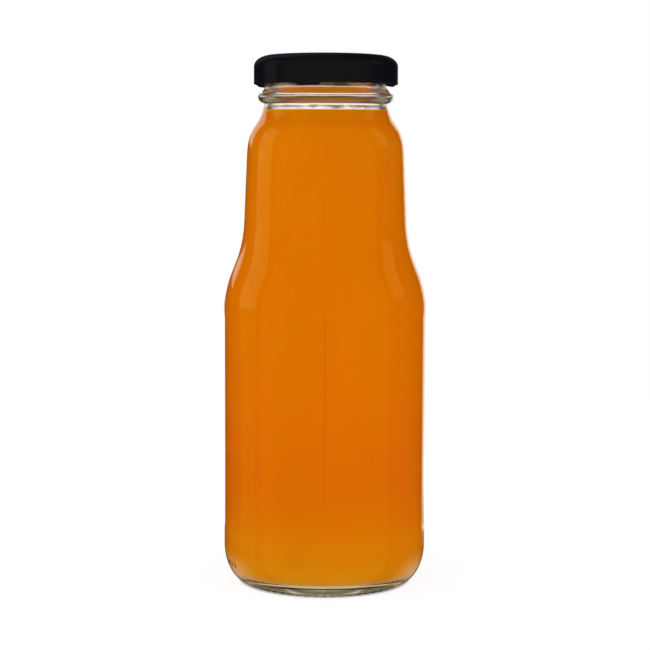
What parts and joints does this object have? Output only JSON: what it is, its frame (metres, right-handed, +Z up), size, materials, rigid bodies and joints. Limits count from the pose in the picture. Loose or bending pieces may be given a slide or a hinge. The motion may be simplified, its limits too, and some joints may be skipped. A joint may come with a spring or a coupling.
{
  "type": "juice bottle",
  "caption": "Clear glass juice bottle with wide shoulders and a short tapered neck, filled to the neck ring with cloudy orange juice and shut with a black twist-off lid.",
  "frame": {"origin": "centre of the base, in the plane of the bearing ring that the bottle stands on", "axes": "+Z up along the bottle's axis from base to lid, +X to the right and +Y away when seen from the front, where the mould seam shows"},
  "size_m": [0.065, 0.065, 0.1688],
  "materials": {
    "glass": "clear colourless moulded glass, fire polished",
    "juice": "cloudy orange juice, opaque through the bottle",
    "lid_enamel": "black satin enamel on pressed tinplate"
  },
  "bodies": {
    "root": {"glass_bottle": "glass", "juice": "juice", "twist_off_lid": "lid_enamel"}
  },
  "joints": []
}
